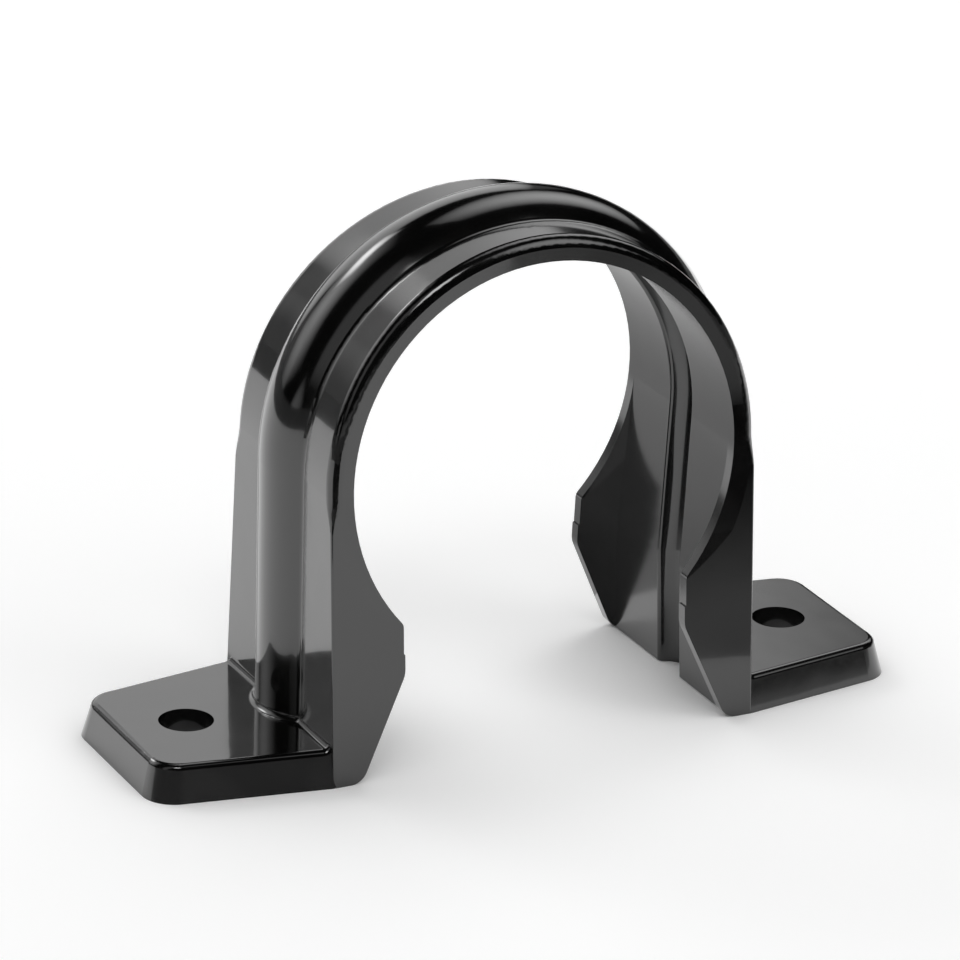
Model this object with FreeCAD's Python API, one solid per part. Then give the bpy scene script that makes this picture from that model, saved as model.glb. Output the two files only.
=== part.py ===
import FreeCAD, Part
import math
import os

# Pipe saddle clip, moulded in one piece.
# Millimetres. X runs along the feet, Y along the pipe, Z up from the mounting face.

# Pipe seat
pipe_diameter = 43.0
wall = 2.5
pipe_stand_off = 9.0

# Strap width and the lean of its front and back faces
base_width = 27.0
face_lean = 3.6

# Stiffening rib on the outside and matching groove on the inside
rib_height = 2.15
rib_crest_radius = 6.5
rib_root_radius = 0.9
groove_width = 4.4
groove_mouth_radius = 0.4

# Gripping fins at the front and back of each leg
fin_thickness = 1.3
lip_overhang = 5.4
lip_split_height = 13.0
lip_bottom_height = 10.9
lip_step = 0.15
lip_top_radius = 1.0
lip_bottom_radius = 2.5
fin_slope = 24.3
fin_foot_radius = 2.0
inner_lean = 2.5

# Feet
foot_length = 18.5
foot_thickness = 3.85
foot_side_taper = 9.3
foot_draft = 14.0
foot_corner_radius = 3.5
screw_offset = 10.4
screw_hole_diameter = 5.7

# Roundings
arch_edge_radius = 1.25
leg_edge_radius = 0.3
edge_fade_length = 3.5
foot_edge_radius = 0.7
foot_root_radius = 0.7

# Modelling allowances
overlap = 1.0
near = 0.01
merging = 0.005

# Values that follow from those above
bore_radius = pipe_diameter / 2
outer_radius = bore_radius + wall
rib_radius = outer_radius + rib_height
pipe_axis_height = bore_radius + pipe_stand_off
foot_end_x = outer_radius + foot_length
screw_x = outer_radius + screw_offset
fade_bottom = pipe_axis_height - edge_fade_length
half_base = base_width / 2
lean_rate = math.tan(math.radians(face_lean))
top = pipe_axis_height + rib_radius + overlap
far = foot_end_x + overlap

vec = FreeCAD.Vector
axis_point = vec(0, 0, pipe_axis_height)
document = FreeCAD.newDocument("clip")


def half_width(height, inset=0.0):
    return half_base - lean_rate * height - inset


def face_xz(points):
    corners = [vec(x, 0, z) for x, z in points]
    return Part.Face(Part.makePolygon(corners + corners[:1]))


def prism_y(face):
    half = half_base + overlap
    face.translate(vec(0, -half, 0))
    return face.extrude(vec(0, 2 * half, 0))


def block_xz(half_length, low, high):
    return prism_y(face_xz([
        (-half_length, low), (half_length, low), (half_length, high), (-half_length, high),
    ]))


def lean_block(inset, low, high):
    # Everything between the leaning front and back faces, moved in by the inset
    corners = [
        vec(-far, -half_width(low, inset), low),
        vec(-far, half_width(low, inset), low),
        vec(-far, half_width(high, inset), high),
        vec(-far, -half_width(high, inset), high),
    ]
    face = Part.Face(Part.makePolygon(corners + corners[:1]))
    return face.extrude(vec(2 * far, 0, 0))


def other_side(shape):
    return shape.mirror(vec(0, 0, 0), vec(1, 0, 0))


# Plain strap: a half ring standing on two straight legs, still solid inside
ring_arc = Part.Arc(
    vec(outer_radius, 0, pipe_axis_height),
    vec(0, 0, pipe_axis_height + outer_radius),
    vec(-outer_radius, 0, pipe_axis_height),
).toShape()
ring_chord = Part.makeLine(
    vec(-outer_radius, 0, pipe_axis_height), vec(outer_radius, 0, pipe_axis_height)
)
ring_half = prism_y(Part.Face(Part.Wire([ring_arc, ring_chord])))
upper_legs = block_xz(outer_radius, fade_bottom, pipe_axis_height)
lower_legs = block_xz(outer_radius, 0, fade_bottom)
strap_envelope = lean_block(0, 0, top)
strap_pieces = [piece.common(strap_envelope) for piece in (ring_half, upper_legs, lower_legs)]
strap = strap_pieces[0].fuse(strap_pieces[1:])


def corner_radius(height):
    # The outer corners are well rounded on the arch and nearly sharp on the legs
    share = (height - fade_bottom) / edge_fade_length
    share = min(max(share, 0), 1)
    return leg_edge_radius + share * (arch_edge_radius - leg_edge_radius)


def outer_corner_edges(shape):
    # Edges where the outer face meets the front or back face, with their end radii
    marked = []
    for number, edge in enumerate(shape.Edges):
        middle = edge.valueAt((edge.FirstParameter + edge.LastParameter) / 2)
        on_end_face = abs(abs(middle.y) - half_width(middle.z)) < near
        rise = max(middle.z - pipe_axis_height, 0)
        on_outer_face = abs(math.hypot(middle.x, rise) - outer_radius) < near
        if not (on_end_face and on_outer_face):
            continue
        radii = []
        for parameter in (edge.FirstParameter, edge.LastParameter):
            radii.append(corner_radius(edge.valueAt(parameter).z))
        marked.append((number + 1, radii[0], radii[1]))
    return marked


def rounded(shape, marked_edges):
    # Rounds edges whose radius changes along their length
    base = document.addObject("Part::Feature", "base")
    base.Shape = shape
    rounding = document.addObject("Part::Fillet", "rounding")
    rounding.Base = base
    rounding.Edges = marked_edges
    document.recompute()
    return rounding.Shape.copy()


# What the corner rounding takes off the arch, the fade below it and the legs
corner_trims = [piece.cut(rounded(piece, outer_corner_edges(piece))) for piece in strap_pieces]

# Rib section, drawn at the foot of the right leg looking down
root_centre = outer_radius + rib_root_radius
crest_centre = rib_radius - rib_crest_radius
centre_gap = rib_crest_radius + rib_root_radius
root_y = math.sqrt(centre_gap ** 2 - (root_centre - crest_centre) ** 2)
join_x = crest_centre + rib_crest_radius / centre_gap * (root_centre - crest_centre)
join_y = rib_crest_radius / centre_gap * root_y
half_bend = math.atan2(root_y, root_centre - crest_centre) / 2
root_mid_x = root_centre - rib_root_radius * math.cos(half_bend)
root_mid_y = root_y - rib_root_radius * math.sin(half_bend)
rib_back_x = outer_radius - wall / 2


def arc_level(points, level=0.0):
    return Part.Arc(*[vec(x, y, level) for x, y in points]).toShape()


rib_outline = [
    arc_level([(outer_radius, -root_y), (root_mid_x, -root_mid_y), (join_x, -join_y)]),
    arc_level([(join_x, -join_y), (rib_radius, 0), (join_x, join_y)]),
    arc_level([(join_x, join_y), (root_mid_x, root_mid_y), (outer_radius, root_y)]),
]
rib_back = Part.makePolygon([
    vec(outer_radius, root_y, 0),
    vec(rib_back_x, root_y, 0),
    vec(rib_back_x, -root_y, 0),
    vec(outer_radius, -root_y, 0),
])
rib_profile = Part.Face(Part.Wire(rib_outline + rib_back.Edges))

# The rib runs straight up both legs and round the arch
rib_right = rib_profile.extrude(vec(0, 0, pipe_axis_height))
rib_start = rib_profile.copy()
rib_start.translate(axis_point)
rib_bow = rib_start.revolve(axis_point, vec(0, -1, 0), 180)

# Groove section at the height of the pipe's axis, as deep as the rib is high
groove_half = groove_width / 2
floor_radius = (groove_half ** 2 + rib_height ** 2) / (2 * rib_height)
floor_x = bore_radius + rib_height
floor_centre = floor_x - floor_radius
mouth_centre = bore_radius + groove_mouth_radius
mouth_gap = floor_radius + groove_mouth_radius
mouth_y = math.sqrt(mouth_gap ** 2 - (mouth_centre - floor_centre) ** 2)
meet_x = floor_centre + (mouth_centre - floor_centre) * floor_radius / mouth_gap
meet_y = mouth_y * floor_radius / mouth_gap
half_turn = math.atan2(mouth_y, mouth_centre - floor_centre) / 2
mouth_mid_x = mouth_centre - groove_mouth_radius * math.cos(half_turn)
mouth_mid_y = mouth_y - groove_mouth_radius * math.sin(half_turn)
groove_open_x = bore_radius - 2 * overlap
groove_outline = [
    arc_level([(meet_x, -meet_y), (floor_x, 0), (meet_x, meet_y)], pipe_axis_height),
    arc_level(
        [(meet_x, meet_y), (mouth_mid_x, mouth_mid_y), (bore_radius, mouth_y)], pipe_axis_height
    ),
    arc_level(
        [(bore_radius, -mouth_y), (mouth_mid_x, -mouth_mid_y), (meet_x, -meet_y)],
        pipe_axis_height,
    ),
]
groove_sides = Part.makePolygon([
    vec(bore_radius, mouth_y, pipe_axis_height),
    vec(groove_open_x, mouth_y, pipe_axis_height),
    vec(groove_open_x, -mouth_y, pipe_axis_height),
    vec(bore_radius, -mouth_y, pipe_axis_height),
])
groove_edges = Part.sortEdges(groove_outline + groove_sides.Edges)[0]
groove_start = Part.Face(Part.Wire(groove_edges))

# The groove follows the seat, then the inner face of each leg down to the split and out again
groove_start.rotate(axis_point, vec(0, 1, 0), inner_lean)
groove_bow = groove_start.revolve(axis_point, vec(0, -1, 0), 180 + 2 * inner_lean)
lean_angle = math.radians(inner_lean)
groove_run = 2 * (pipe_axis_height - lip_split_height)
run_down = vec(-math.sin(lean_angle), 0, -math.cos(lean_angle)) * groove_run
above_split = block_xz(far, lip_split_height, top)
groove_upper = groove_start.extrude(run_down).common(above_split)
groove_lower = groove_upper.mirror(vec(0, 0, lip_split_height), vec(0, 0, 1))
groove_leg = groove_upper.fuse(groove_lower)


# Foot: a tapered plate with rounded free corners, drafted on every side
def foot_outline(height):
    shrink = math.tan(math.radians(foot_draft)) * height
    taper = math.radians(foot_side_taper)
    end_x = foot_end_x - shrink
    start_x = outer_radius - wall / 2
    start_y = half_base + math.tan(taper) * wall / 2 - shrink / math.cos(taper)
    end_y = start_y - math.tan(taper) * (end_x - start_x)
    radius = foot_corner_radius - shrink / 2
    corner_turn = math.pi / 2 - taper
    corner_setback = radius * math.tan(corner_turn / 2)
    flat_y = end_y - corner_setback
    side_x = end_x - corner_setback * math.cos(taper)
    side_y = end_y + corner_setback * math.sin(taper)
    mid_x = end_x - radius + radius * math.cos(corner_turn / 2)
    mid_y = flat_y + radius * math.sin(corner_turn / 2)
    lines = Part.makePolygon([
        vec(side_x, -side_y, height),
        vec(start_x, -start_y, height),
        vec(start_x, start_y, height),
        vec(side_x, side_y, height),
    ])
    return Part.Wire([
        arc_level([(side_x, side_y), (mid_x, mid_y), (end_x, flat_y)], height),
        Part.makeLine(vec(end_x, flat_y, height), vec(end_x, -flat_y, height)),
        arc_level([(end_x, -flat_y), (mid_x, -mid_y), (side_x, -side_y)], height),
    ] + lines.Edges)


foot_right = Part.makeLoft([foot_outline(0), foot_outline(foot_thickness)], True, True)
foot_right = foot_right.common(strap_envelope)


def level_edges(shape, height, inner_x, outer_x):
    # Level edges at one height whose X extent lies between two distances from the middle
    found = []
    for edge in shape.Edges:
        box = edge.BoundBox
        level = abs(box.ZMin - height) < near and abs(box.ZMax - height) < near
        ends = sorted([abs(box.XMin), abs(box.XMax)])
        if level and ends[0] > inner_x - near and ends[1] < outer_x + near:
            found.append(edge)
    return found


# Root of each foot first, then the foot's free top edges, then the strap's outer corners
body = strap.fuse([rib_bow, rib_right, other_side(rib_right), foot_right, other_side(foot_right)])
body = body.removeSplitter()
root_edges = level_edges(body, foot_thickness, outer_radius, rib_radius)
body = body.makeFillet(foot_root_radius, root_edges)
foot_top_edges = level_edges(body, foot_thickness, outer_radius + foot_root_radius, foot_end_x)
foot_top_edges = [edge for edge in foot_top_edges if abs(edge.CenterOfMass.x) > rib_radius + overlap]
body = body.makeFillet(foot_edge_radius, foot_top_edges)
feet = [foot_right, other_side(foot_right)]
body = body.cut([trim.cut(feet) for trim in corner_trims], merging)

# Opening between the fins: the pipe seat, the lips and the flared mouth below them
lip_x = bore_radius - lip_overhang
lower_lip_x = lip_x - lip_step
seat_end_z = pipe_axis_height - math.sqrt(bore_radius ** 2 - lip_x ** 2)
slope = math.radians(fin_slope)
slope_foot_x = lower_lip_x + math.tan(slope) * lip_bottom_height
foot_turn = math.pi / 2 - slope
foot_setback = fin_foot_radius * math.tan(foot_turn / 2)
slope_end = (slope_foot_x - foot_setback * math.sin(slope), foot_setback * math.cos(slope))
mouth_x = slope_foot_x + foot_setback
foot_mid = (
    mouth_x - fin_foot_radius * math.sin(foot_turn / 2),
    fin_foot_radius * (1 - math.cos(foot_turn / 2)),
)
seat_arc = Part.Arc(
    vec(lip_x, 0, seat_end_z),
    vec(0, 0, pipe_axis_height + bore_radius),
    vec(-lip_x, 0, seat_end_z),
).toShape()


def fin_edge(side):
    corners = [
        (lip_x, seat_end_z),
        (lip_x, lip_split_height),
        (lower_lip_x, lip_split_height),
        (lower_lip_x, lip_bottom_height),
        slope_end,
    ]
    lines = Part.makePolygon([vec(side * x, 0, z) for x, z in corners])
    foot_arc = Part.Arc(
        vec(side * slope_end[0], 0, slope_end[1]),
        vec(side * foot_mid[0], 0, foot_mid[1]),
        vec(side * mouth_x, 0, 0),
    ).toShape()
    return lines.Edges + [foot_arc]


mouth_box = Part.makePolygon([
    vec(mouth_x, 0, 0),
    vec(mouth_x, 0, -overlap),
    vec(-mouth_x, 0, -overlap),
    vec(-mouth_x, 0, 0),
])
opening_edges = Part.sortEdges([seat_arc] + fin_edge(1) + fin_edge(-1) + mouth_box.Edges)[0]
opening = prism_y(Part.Face(Part.Wire(opening_edges)))


def edges_along_y(shape, x, z):
    found = []
    for edge in shape.Edges:
        box = edge.BoundBox
        middle = edge.CenterOfMass
        straight = box.XLength < near and box.ZLength < near
        if straight and abs(abs(middle.x) - x) < near and abs(middle.z - z) < near:
            found.append(edge)
    return found


lip_tops = edges_along_y(opening, lip_x, seat_end_z)
opening = opening.makeFillet(lip_top_radius, lip_tops)
lip_bottoms = edges_along_y(opening, lower_lip_x, lip_bottom_height)
opening = opening.makeFillet(lip_bottom_radius, lip_bottoms)

# Hollow between the fins: the legs' inner faces lean in from both ends to the split
touch_x = bore_radius * math.cos(lean_angle)
touch_z = pipe_axis_height - bore_radius * math.sin(lean_angle)
waist_x = touch_x - math.tan(lean_angle) * (touch_z - lip_split_height)
hem_x = waist_x + math.tan(lean_angle) * (lip_split_height + overlap)
hollow = prism_y(face_xz([
    (touch_x, touch_z),
    (waist_x, lip_split_height),
    (hem_x, -overlap),
    (-hem_x, -overlap),
    (-waist_x, lip_split_height),
    (-touch_x, touch_z),
]))
hollow = hollow.common(lean_block(fin_thickness, -overlap, top))

body = body.cut(opening)
body = body.cut(hollow)
body = body.cut([groove_bow, groove_leg, other_side(groove_leg)])
hole_length = foot_thickness + 2 * overlap
hole = Part.makeCylinder(screw_hole_diameter / 2, hole_length, vec(screw_x, 0, -overlap))
body = body.cut([hole, other_side(hole)])
body = body.Solids[0].removeSplitter()

os.makedirs("parts", exist_ok=True)
body.exportStep("parts/saddle_clip.step")
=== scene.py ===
import math

import bpy
from mathutils import Matrix, Vector

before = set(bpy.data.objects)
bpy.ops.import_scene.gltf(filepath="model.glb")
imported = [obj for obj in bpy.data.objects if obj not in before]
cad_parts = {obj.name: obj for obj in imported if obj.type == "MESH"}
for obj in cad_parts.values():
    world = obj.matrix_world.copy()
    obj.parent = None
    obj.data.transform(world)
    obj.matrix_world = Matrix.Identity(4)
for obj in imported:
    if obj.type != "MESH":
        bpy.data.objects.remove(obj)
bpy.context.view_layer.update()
scene = bpy.context.scene
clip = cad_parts["saddle_clip"]

# Lengths are in metres and angles in degrees, unless a comment says otherwise.

# Camera, fitted to the photo. Focal length and sensor are in millimetres.
camera_yaw = 26.883
camera_pitch = 21.703
camera_roll = 1.597
camera_distance = 0.60742
camera_target = Vector((-0.00166, 0.0, 0.02512))
camera_focal = 221.8
camera_sensor = 36.0

# Plastic. The cloud, grain and wave are noises, whose scales are per metre.
dark_tint = (0.0012, 0.0012, 0.0013, 1.0)
pale_tint = (0.0036, 0.0036, 0.0034, 1.0)
plastic_ior = 1.55
cloud_scale = 90.0
cloud_detail = 3.0
cloud_distortion = 0.6
cloud_tint_span = (0.35, 0.65)
cloud_haze_span = (0.35, 0.70)
gloss_roughness = (0.10, 0.18)
grain_scale = 1800.0
grain_detail = 2.0
grain_height = 0.0000004
grain_haze_span = (0.35, 0.75)
coat_roughness = (0.04, 0.08)
wave_scale = 160.0
wave_detail = 1.0
wave_height = 0.00003

# Satin on the seat: how far a face looks towards the pipe, and how far out it may lie
pipe_axis_height = 0.0305
satin_roughness = 0.17
satin_facing_span = (-0.2, -0.6)
satin_reach_span = (0.0238, 0.0237)

# Bevel along the seat's edge: radii about the pipe's axis and heights above it
bevel_inner = 0.0217
bevel_outer = 0.02365
bevel_tilt = 3.0
bevel_low = -0.0145
bevel_full = -0.0100
bevel_top_span = (0.0035, 0.0)
face_lean = 3.6
flat_tolerance = 0.0001

# Floor, black tent, table edge and world
floor_size = 1.5
floor_colour = 0.88
floor_glow = 0.34
# The contact values set a painted contact shadow: close to the clip, ambient occlusion dims the floor's
# glow.
contact_reach = 0.02
contact_samples = 2
contact_power = 2.0
world_level = 0.27
tent_radius = 1.45
tent_rows = 8
tent_columns = 48
tent_colour = 0.01
table_radius = 0.42
table_edge_height = 0.055
table_edge_colour = 0.20

# Cards on the floor, which only the reflections see
card_height = 0.0002
# The rear card is painted shadow: a grey sheet behind the clip that stands in for the arch's shadow on
# the floor, as the reflections see it.
rear_shadow_card = ((-0.028, 0.018), (0.140, 0.018), (0.140, 0.250), (-0.028, 0.250))
rear_shadow_card_colour = 0.66
left_card = ((-0.095, -0.040), (-0.42, -0.16), (-0.42, -0.60), (-0.16, -0.40), (-0.050, -0.13))
left_card_colour = 0.03
front_card = ((0.010, -0.040), (0.1425, -0.305), (0.60, -0.305), (0.60, -0.028), (0.040, -0.028))
front_card_reach = 0.3
front_card_greys = (
    # distance in front of the clip's middle, colour
    (0.050, 0.50), (0.062, 0.34), (0.080, 0.15), (0.092, 0.08), (0.098, 0.01), (0.126, 0.01),
    (0.136, 0.45), (0.185, 0.48), (0.200, 0.30), (0.290, 0.30),
)

# Softboxes, which face the origin. Azimuth turns from +Y towards +X.
softbox_distance = 1.2
softboxes = (
    # name, azimuth, elevation, roll, width, height, level, edge power
    ("back_left", -43, 31, 55, 1.32, 0.92, 1.42, 1.5),
    ("back_left_core", -22, 39, 11, 0.49, 0.30, 5.4, 2.0),
    ("back_right", 51, 51, 17, 0.66, 1.84, 1.70, 1.8),
    ("left", -118, 40, 16, 0.48, 1.35, 0.32, 5.5),
    ("right_front", 142, 42, 0, 0.75, 1.00, 1.70, 3.0),
    ("back", 5.5, 19, -8, 1.12, 0.95, 0.85, 8.0),
    ("left_low", -87, 0, 43, 0.40, 0.68, 0.54, 3.0),
    ("front_left_low", -145, -4, 2, 1.81, 0.64, 0.37, 5.6),
    ("back_left_low", -38, 6, 0, 0.80, 0.60, 0.17, 8.0),
    ("back_edge", 33, 22, 0, 0.22, 0.42, 0.10, 4.0),
    ("key", -158, 55, 0, 0.45, 0.38, 5.5, 3.0),
)


def new_material(name):
    material = bpy.data.materials.new(name)
    material.use_nodes = True
    material.node_tree.nodes.clear()
    return material, material.node_tree.nodes, material.node_tree.links


def calculate(nodes, links, operation, *values, clamp=False):
    # A Math node. Each value is a socket or a plain number.
    node = nodes.new("ShaderNodeMath")
    node.operation = operation
    node.use_clamp = clamp
    for socket, value in zip(node.inputs, values):
        if isinstance(value, (int, float)):
            socket.default_value = value
        else:
            links.new(value, socket)
    return node.outputs["Value"]


def make_noise(nodes, links, place, scale, detail, distortion=0.0):
    noise = nodes.new("ShaderNodeTexNoise")
    noise.inputs["Scale"].default_value = scale
    noise.inputs["Detail"].default_value = detail
    noise.inputs["Distortion"].default_value = distortion
    links.new(place, noise.inputs["Vector"])
    return noise.outputs["Fac"]


def make_range(nodes, links, value, low, high, low_out, high_out):
    spread = nodes.new("ShaderNodeMapRange")
    spread.inputs["From Min"].default_value = low
    spread.inputs["From Max"].default_value = high
    spread.inputs["To Min"].default_value = low_out
    spread.inputs["To Max"].default_value = high_out
    links.new(value, spread.inputs["Value"])
    return spread.outputs["Result"]


def make_share(nodes, links, value, span):
    # Nought at the span's first number, going to one at its second.
    return make_range(nodes, links, value, *span, 0.0, 1.0)


def blend(nodes, links, share, value, other):
    # The value where the share is nought, going to the other number where it is one.
    mix = nodes.new("ShaderNodeMix")
    mix.inputs["B"].default_value = other
    links.new(share, mix.inputs["Factor"])
    links.new(value, mix.inputs["A"])
    return mix.outputs["Result"]


def split_vector(nodes, links, vector):
    split = nodes.new("ShaderNodeSeparateXYZ")
    links.new(vector, split.inputs["Vector"])
    return split.outputs


def make_bump(nodes, links, height, distance, normal):
    bump = nodes.new("ShaderNodeBump")
    bump.inputs["Strength"].default_value = 1.0
    bump.inputs["Distance"].default_value = distance
    links.new(height, bump.inputs["Height"])
    links.new(normal, bump.inputs["Normal"])
    return bump.outputs["Normal"]


def make_from_axis(nodes, links, place):
    # The vector from the pipe's axis, square to it.
    from_axis = nodes.new("ShaderNodeVectorMath")
    from_axis.operation = "MULTIPLY_ADD"
    from_axis.inputs[1].default_value = (1.0, 0.0, 1.0)
    from_axis.inputs[2].default_value = (0.0, 0.0, -pipe_axis_height)
    links.new(place, from_axis.inputs[0])
    return from_axis.outputs["Vector"]


def make_satin(nodes, links, from_axis, normal):
    # One on the faces that look towards the pipe, and nought on the feet and outside.
    outward = nodes.new("ShaderNodeVectorMath")
    outward.operation = "NORMALIZE"
    links.new(from_axis, outward.inputs[0])
    facing = nodes.new("ShaderNodeVectorMath")
    facing.operation = "DOT_PRODUCT"
    links.new(outward.outputs["Vector"], facing.inputs[0])
    links.new(normal, facing.inputs[1])
    inward = make_share(nodes, links, facing.outputs["Value"], satin_facing_span)
    reach = calculate(nodes, links, "ABSOLUTE", split_vector(nodes, links, from_axis)["X"])
    within = make_share(nodes, links, reach, satin_reach_span)
    return calculate(nodes, links, "MULTIPLY", inward, within)


def is_flat_along(nodes, links, side, along):
    # One where a normal's component has the size given, either way round.
    size = calculate(nodes, links, "ABSOLUTE", side)
    return calculate(nodes, links, "COMPARE", size, along, flat_tolerance)


def make_even_normal(nodes, links, surface, is_flat):
    # Flat faces stay flat up to their edges.
    even = nodes.new("ShaderNodeMix")
    even.data_type = "VECTOR"
    links.new(is_flat, even.inputs["Factor"])
    links.new(surface["Normal"], even.inputs["A"])
    links.new(surface["True Normal"], even.inputs["B"])
    return even.outputs["Result"]


def make_seat_bevel(nodes, links, from_axis, is_end):
    # The height of a shallow bevel on the end faces, along the seat's lower edge.
    distance = nodes.new("ShaderNodeVectorMath")
    distance.operation = "LENGTH"
    links.new(from_axis, distance.inputs[0])
    height = split_vector(nodes, links, from_axis)["Z"]
    rim = make_range(nodes, links, height, bevel_low, bevel_full, bevel_inner, bevel_outer)
    gap = calculate(nodes, links, "SUBTRACT", rim, distance.outputs["Value"], clamp=True)
    slope = math.tan(math.radians(bevel_tilt))
    fall = make_range(nodes, links, gap, 0.0, 1.0, 0.0, -slope)
    below = make_share(nodes, links, height, bevel_top_span)
    return calculate(nodes, links, "MULTIPLY", calculate(nodes, links, "MULTIPLY", fall, below), is_end)


def make_plastic():
    # Polished black moulding with a wavy surface, faint cloudy patches and a fine grain.
    material, nodes, links = new_material("gloss_black_plastic")
    output = nodes.new("ShaderNodeOutputMaterial")
    shader = nodes.new("ShaderNodeBsdfPrincipled")
    place = nodes.new("ShaderNodeTexCoord").outputs["Object"]
    surface = nodes.new("ShaderNodeNewGeometry").outputs
    shader.inputs["IOR"].default_value = plastic_ior
    shader.inputs["Coat Weight"].default_value = 1.0
    shader.inputs["Coat IOR"].default_value = plastic_ior

    cloud = make_noise(nodes, links, place, cloud_scale, cloud_detail, cloud_distortion)
    tint = nodes.new("ShaderNodeMix")
    tint.data_type = "RGBA"
    tint.inputs["A"].default_value = dark_tint
    tint.inputs["B"].default_value = pale_tint
    links.new(make_share(nodes, links, cloud, cloud_tint_span), tint.inputs["Factor"])
    links.new(tint.outputs["Result"], shader.inputs["Base Color"])

    # The polish: glossy outside, satin on the seat
    from_axis = make_from_axis(nodes, links, place)
    satin = make_satin(nodes, links, from_axis, surface["Normal"])
    haze = make_range(nodes, links, cloud, *cloud_haze_span, *gloss_roughness)
    links.new(blend(nodes, links, satin, haze, satin_roughness), shader.inputs["Roughness"])
    grain = make_noise(nodes, links, place, grain_scale, grain_detail)
    coat_haze = make_range(nodes, links, grain, *grain_haze_span, *coat_roughness)
    links.new(blend(nodes, links, satin, coat_haze, satin_roughness), shader.inputs["Coat Roughness"])

    # The relief: the seat's bevel, then the waves, then the grain
    sides = split_vector(nodes, links, surface["True Normal"])
    is_end = is_flat_along(nodes, links, sides["Y"], math.cos(math.radians(face_lean)))
    is_flat = is_end
    for axis in ("X", "Z"):
        also_flat = is_flat_along(nodes, links, sides[axis], 1.0)
        is_flat = calculate(nodes, links, "ADD", is_flat, also_flat, clamp=True)
    normal = make_even_normal(nodes, links, surface, is_flat)
    normal = make_bump(nodes, links, make_seat_bevel(nodes, links, from_axis, is_end), 1.0, normal)
    wave = make_noise(nodes, links, place, wave_scale, wave_detail)
    normal = make_bump(nodes, links, wave, wave_height, normal)
    normal = make_bump(nodes, links, grain, grain_height, normal)
    links.new(normal, shader.inputs["Normal"])
    links.new(normal, shader.inputs["Coat Normal"])
    links.new(shader.outputs["BSDF"], output.inputs["Surface"])
    return material


def only_for_reflections(item):
    item.visible_camera = False
    item.visible_diffuse = False
    item.visible_shadow = False
    item.visible_transmission = False


def add_mesh(name, points, faces, material):
    mesh = bpy.data.meshes.new(name)
    mesh.from_pydata(points, [], faces)
    mesh.materials.append(material)
    item = bpy.data.objects.new(name, mesh)
    scene.collection.objects.link(item)
    return item


def seen_directly(nodes, links):
    # One where the camera, a reflection or a clear material looks at the surface.
    path = nodes.new("ShaderNodeLightPath").outputs
    seen = calculate(nodes, links, "MAXIMUM", path["Is Camera Ray"], path["Is Glossy Ray"])
    return calculate(nodes, links, "MAXIMUM", seen, path["Is Transmission Ray"])


def make_floor():
    # A pale floor with a glow that the camera sees. Close to the clip, ambient occlusion dims the glow,
    # a painted contact shadow on top of the real shadow from the lamps.
    material, nodes, links = new_material("floor")
    output = nodes.new("ShaderNodeOutputMaterial")
    shader = nodes.new("ShaderNodeBsdfDiffuse")
    shader.inputs["Color"].default_value = (floor_colour, floor_colour, floor_colour, 1.0)
    glow = nodes.new("ShaderNodeEmission")
    open_sky = nodes.new("ShaderNodeAmbientOcclusion")
    open_sky.samples = contact_samples
    open_sky.inputs["Distance"].default_value = contact_reach
    # Painted contact shadow: less glow where the clip hems the floor in.
    held = calculate(nodes, links, "POWER", open_sky.outputs["AO"], contact_power)
    level = make_range(nodes, links, held, 0.0, 1.0, 0.0, floor_glow)
    strength = calculate(nodes, links, "MULTIPLY", seen_directly(nodes, links), level)
    both = nodes.new("ShaderNodeAddShader")
    links.new(strength, glow.inputs["Strength"])
    links.new(shader.outputs["BSDF"], both.inputs[0])
    links.new(glow.outputs["Emission"], both.inputs[1])
    links.new(both.outputs["Shader"], output.inputs["Surface"])
    s = floor_size
    add_mesh("floor", [(-s, -s, 0), (s, -s, 0), (s, s, 0), (-s, s, 0)], [(0, 1, 2, 3)], material)


def make_cloth(name, colour):
    material, nodes, links = new_material(name)
    output = nodes.new("ShaderNodeOutputMaterial")
    shader = nodes.new("ShaderNodeBsdfDiffuse")
    shader.inputs["Color"].default_value = (colour, colour, colour, 1.0)
    links.new(shader.outputs["BSDF"], output.inputs["Surface"])
    return material


def make_shaded_cloth(name, reach, greys):
    # Cloth whose grey changes with the distance in front of the clip.
    material, nodes, links = new_material(name)
    output = nodes.new("ShaderNodeOutputMaterial")
    shader = nodes.new("ShaderNodeBsdfDiffuse")
    place = nodes.new("ShaderNodeTexCoord").outputs["Object"]
    ramp = nodes.new("ShaderNodeValToRGB")
    steps = ramp.color_ramp.elements
    while len(steps) < len(greys):
        steps.new(0.5)
    for step, (distance, grey) in zip(steps, greys):
        step.position = distance / reach
        step.color = (grey, grey, grey, 1.0)
    ahead = split_vector(nodes, links, place)["Y"]
    links.new(make_share(nodes, links, ahead, (0.0, -reach)), ramp.inputs["Fac"])
    links.new(ramp.outputs["Color"], shader.inputs["Color"])
    links.new(shader.outputs["BSDF"], output.inputs["Surface"])
    return material


def make_tent(cloth):
    # A black tent round the set, which only the reflections see.
    points = []
    faces = []
    for row in range(tent_rows + 1):
        rise = math.radians(90.0 * row / tent_rows)
        for column in range(tent_columns):
            turn = 2.0 * math.pi * column / tent_columns
            points.append((
                tent_radius * math.cos(rise) * math.cos(turn),
                tent_radius * math.cos(rise) * math.sin(turn),
                tent_radius * math.sin(rise),
            ))
    for row in range(tent_rows):
        for column in range(tent_columns):
            first = row * tent_columns + column
            second = row * tent_columns + (column + 1) % tent_columns
            faces.append((first, second, second + tent_columns, first + tent_columns))
    only_for_reflections(add_mesh("tent", points, faces, cloth))


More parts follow.
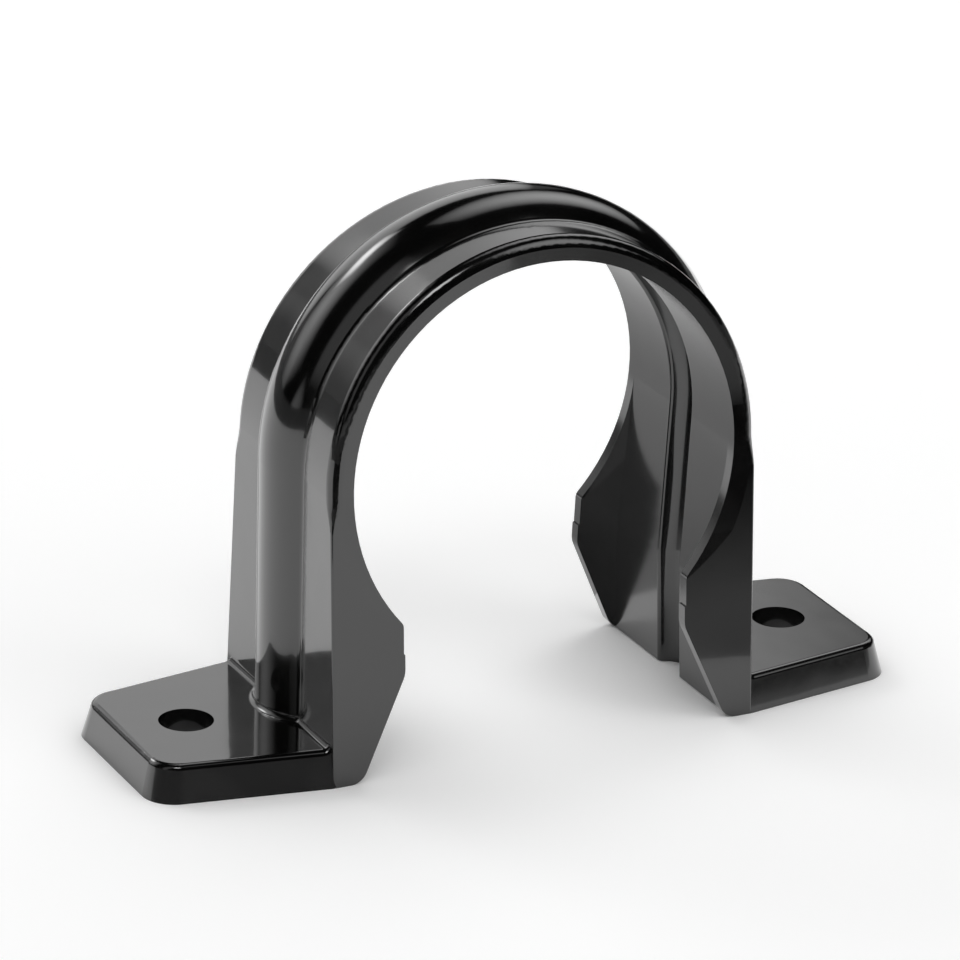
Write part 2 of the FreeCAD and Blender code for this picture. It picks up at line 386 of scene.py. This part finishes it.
def make_table_edge(cloth):
    # The low dark screen that ends the white table in the reflections.
    points = []
    faces = []
    for column in range(tent_columns):
        turn = 2.0 * math.pi * column / tent_columns
        for height in (0.0, table_edge_height):
            points.append((
                table_radius * math.cos(turn), table_radius * math.sin(turn), height
            ))
    for column in range(tent_columns):
        first = 2 * column
        second = 2 * ((column + 1) % tent_columns)
        faces.append((first, second, second + 1, first + 1))
    only_for_reflections(add_mesh("table_edge", points, faces, cloth))


def make_card(name, corners, cloth):
    # A card on the floor that darkens the reflections and stays out of the picture.
    points = [(x, y, card_height) for x, y in corners]
    only_for_reflections(add_mesh(name, points, [tuple(range(len(points)))], cloth))


def lean_axes(level_right, level_up, lean):
    # The two directions, turned in their plane.
    turn = math.radians(lean)
    right = math.cos(turn) * level_right + math.sin(turn) * level_up
    up = math.cos(turn) * level_up - math.sin(turn) * level_right
    return right, up


def place_item(item, position, right, up, back):
    axes = Matrix((right, up, back)).transposed().to_4x4()
    item.matrix_world = Matrix.Translation(position) @ axes


def make_camera():
    yaw = math.radians(camera_yaw)
    pitch = math.radians(camera_pitch)
    forward = Vector((
        math.sin(yaw) * math.cos(pitch), math.cos(yaw) * math.cos(pitch), -math.sin(pitch)
    ))
    level_right = Vector((math.cos(yaw), -math.sin(yaw), 0.0))
    right, up = lean_axes(level_right, level_right.cross(forward), camera_roll)
    data = bpy.data.cameras.new("camera")
    data.lens = camera_focal
    data.sensor_width = camera_sensor
    camera = bpy.data.objects.new("camera", data)
    scene.collection.objects.link(camera)
    place_item(camera, camera_target - forward * camera_distance, right, up, -forward)
    scene.camera = camera


def make_lamp_glow(data, level, edge_power):
    # Light that falls off from the lamp's middle to its edges. A high power keeps it even.
    data.use_nodes = True
    nodes = data.node_tree.nodes
    links = data.node_tree.links
    nodes.clear()
    output = nodes.new("ShaderNodeOutputLight")
    emission = nodes.new("ShaderNodeEmission")
    surface = nodes.new("ShaderNodeNewGeometry").outputs
    centre = nodes.new("ShaderNodeVectorMath")
    centre.operation = "MULTIPLY_ADD"
    centre.inputs[1].default_value = (2.0, 2.0, 0.0)
    centre.inputs[2].default_value = (-1.0, -1.0, 0.0)
    links.new(surface["Parametric"], centre.inputs[0])
    sides = split_vector(nodes, links, centre.outputs["Vector"])
    falloffs = []
    for axis in ("X", "Y"):
        size = calculate(nodes, links, "ABSOLUTE", sides[axis])
        loss = calculate(nodes, links, "POWER", size, edge_power)
        falloffs.append(calculate(nodes, links, "SUBTRACT", 1.0, loss, clamp=True))
    glow = calculate(nodes, links, "MULTIPLY", *falloffs)
    links.new(calculate(nodes, links, "MULTIPLY", glow, level), emission.inputs["Strength"])
    links.new(emission.outputs["Emission"], output.inputs["Surface"])


def make_softbox(name, azimuth, elevation, roll, width, height, level, edge_power):
    # A lamp that faces the origin. Its level is the radiance at its middle.
    data = bpy.data.lights.new(name, "AREA")
    data.shape = "RECTANGLE"
    data.size = width
    data.size_y = height
    data.energy = math.pi * width * height
    make_lamp_glow(data, level, edge_power)
    lamp = bpy.data.objects.new(name, data)
    scene.collection.objects.link(lamp)
    turn = math.radians(azimuth)
    rise = math.radians(elevation)
    out = Vector((
        math.sin(turn) * math.cos(rise), math.cos(turn) * math.cos(rise), math.sin(rise)
    ))
    level_right = Vector((math.cos(turn), -math.sin(turn), 0.0))
    right, up = lean_axes(level_right, level_right.cross(out), roll)
    place_item(lamp, out * softbox_distance, right, up, out)


def make_world():
    # The camera and the reflections see white, and the rest is lit at a plain level.
    world = bpy.data.worlds.new("studio")
    scene.world = world
    world.use_nodes = True
    nodes = world.node_tree.nodes
    links = world.node_tree.links
    nodes.clear()
    output = nodes.new("ShaderNodeOutputWorld")
    mix = nodes.new("ShaderNodeMixShader")
    links.new(seen_directly(nodes, links), mix.inputs["Fac"])
    for socket, strength in zip((mix.inputs[1], mix.inputs[2]), (world_level, 1.0)):
        background = nodes.new("ShaderNodeBackground")
        background.inputs["Color"].default_value = (1.0, 1.0, 1.0, 1.0)
        background.inputs["Strength"].default_value = strength
        links.new(background.outputs["Background"], socket)
    links.new(mix.outputs["Shader"], output.inputs["Surface"])


make_camera()
clip.material_slots[0].material = make_plastic()
make_floor()
make_tent(make_cloth("black_cloth", tent_colour))
make_table_edge(make_cloth("dark_cloth", table_edge_colour))
# Painted shadow: a grey sheet behind the clip in place of the arch's shadow on the floor, seen only in
# the reflections.
make_card("rear_shadow_card", rear_shadow_card, make_cloth("rear_painted_shadow", rear_shadow_card_colour))
make_card("left_card", left_card, make_cloth("left_grey", left_card_colour))
front_grey = make_shaded_cloth("front_grey", front_card_reach, front_card_greys)
make_card("front_card", front_card, front_grey)
for softbox in softboxes:
    make_softbox(*softbox)
make_world()
scene.view_settings.view_transform = "Standard"
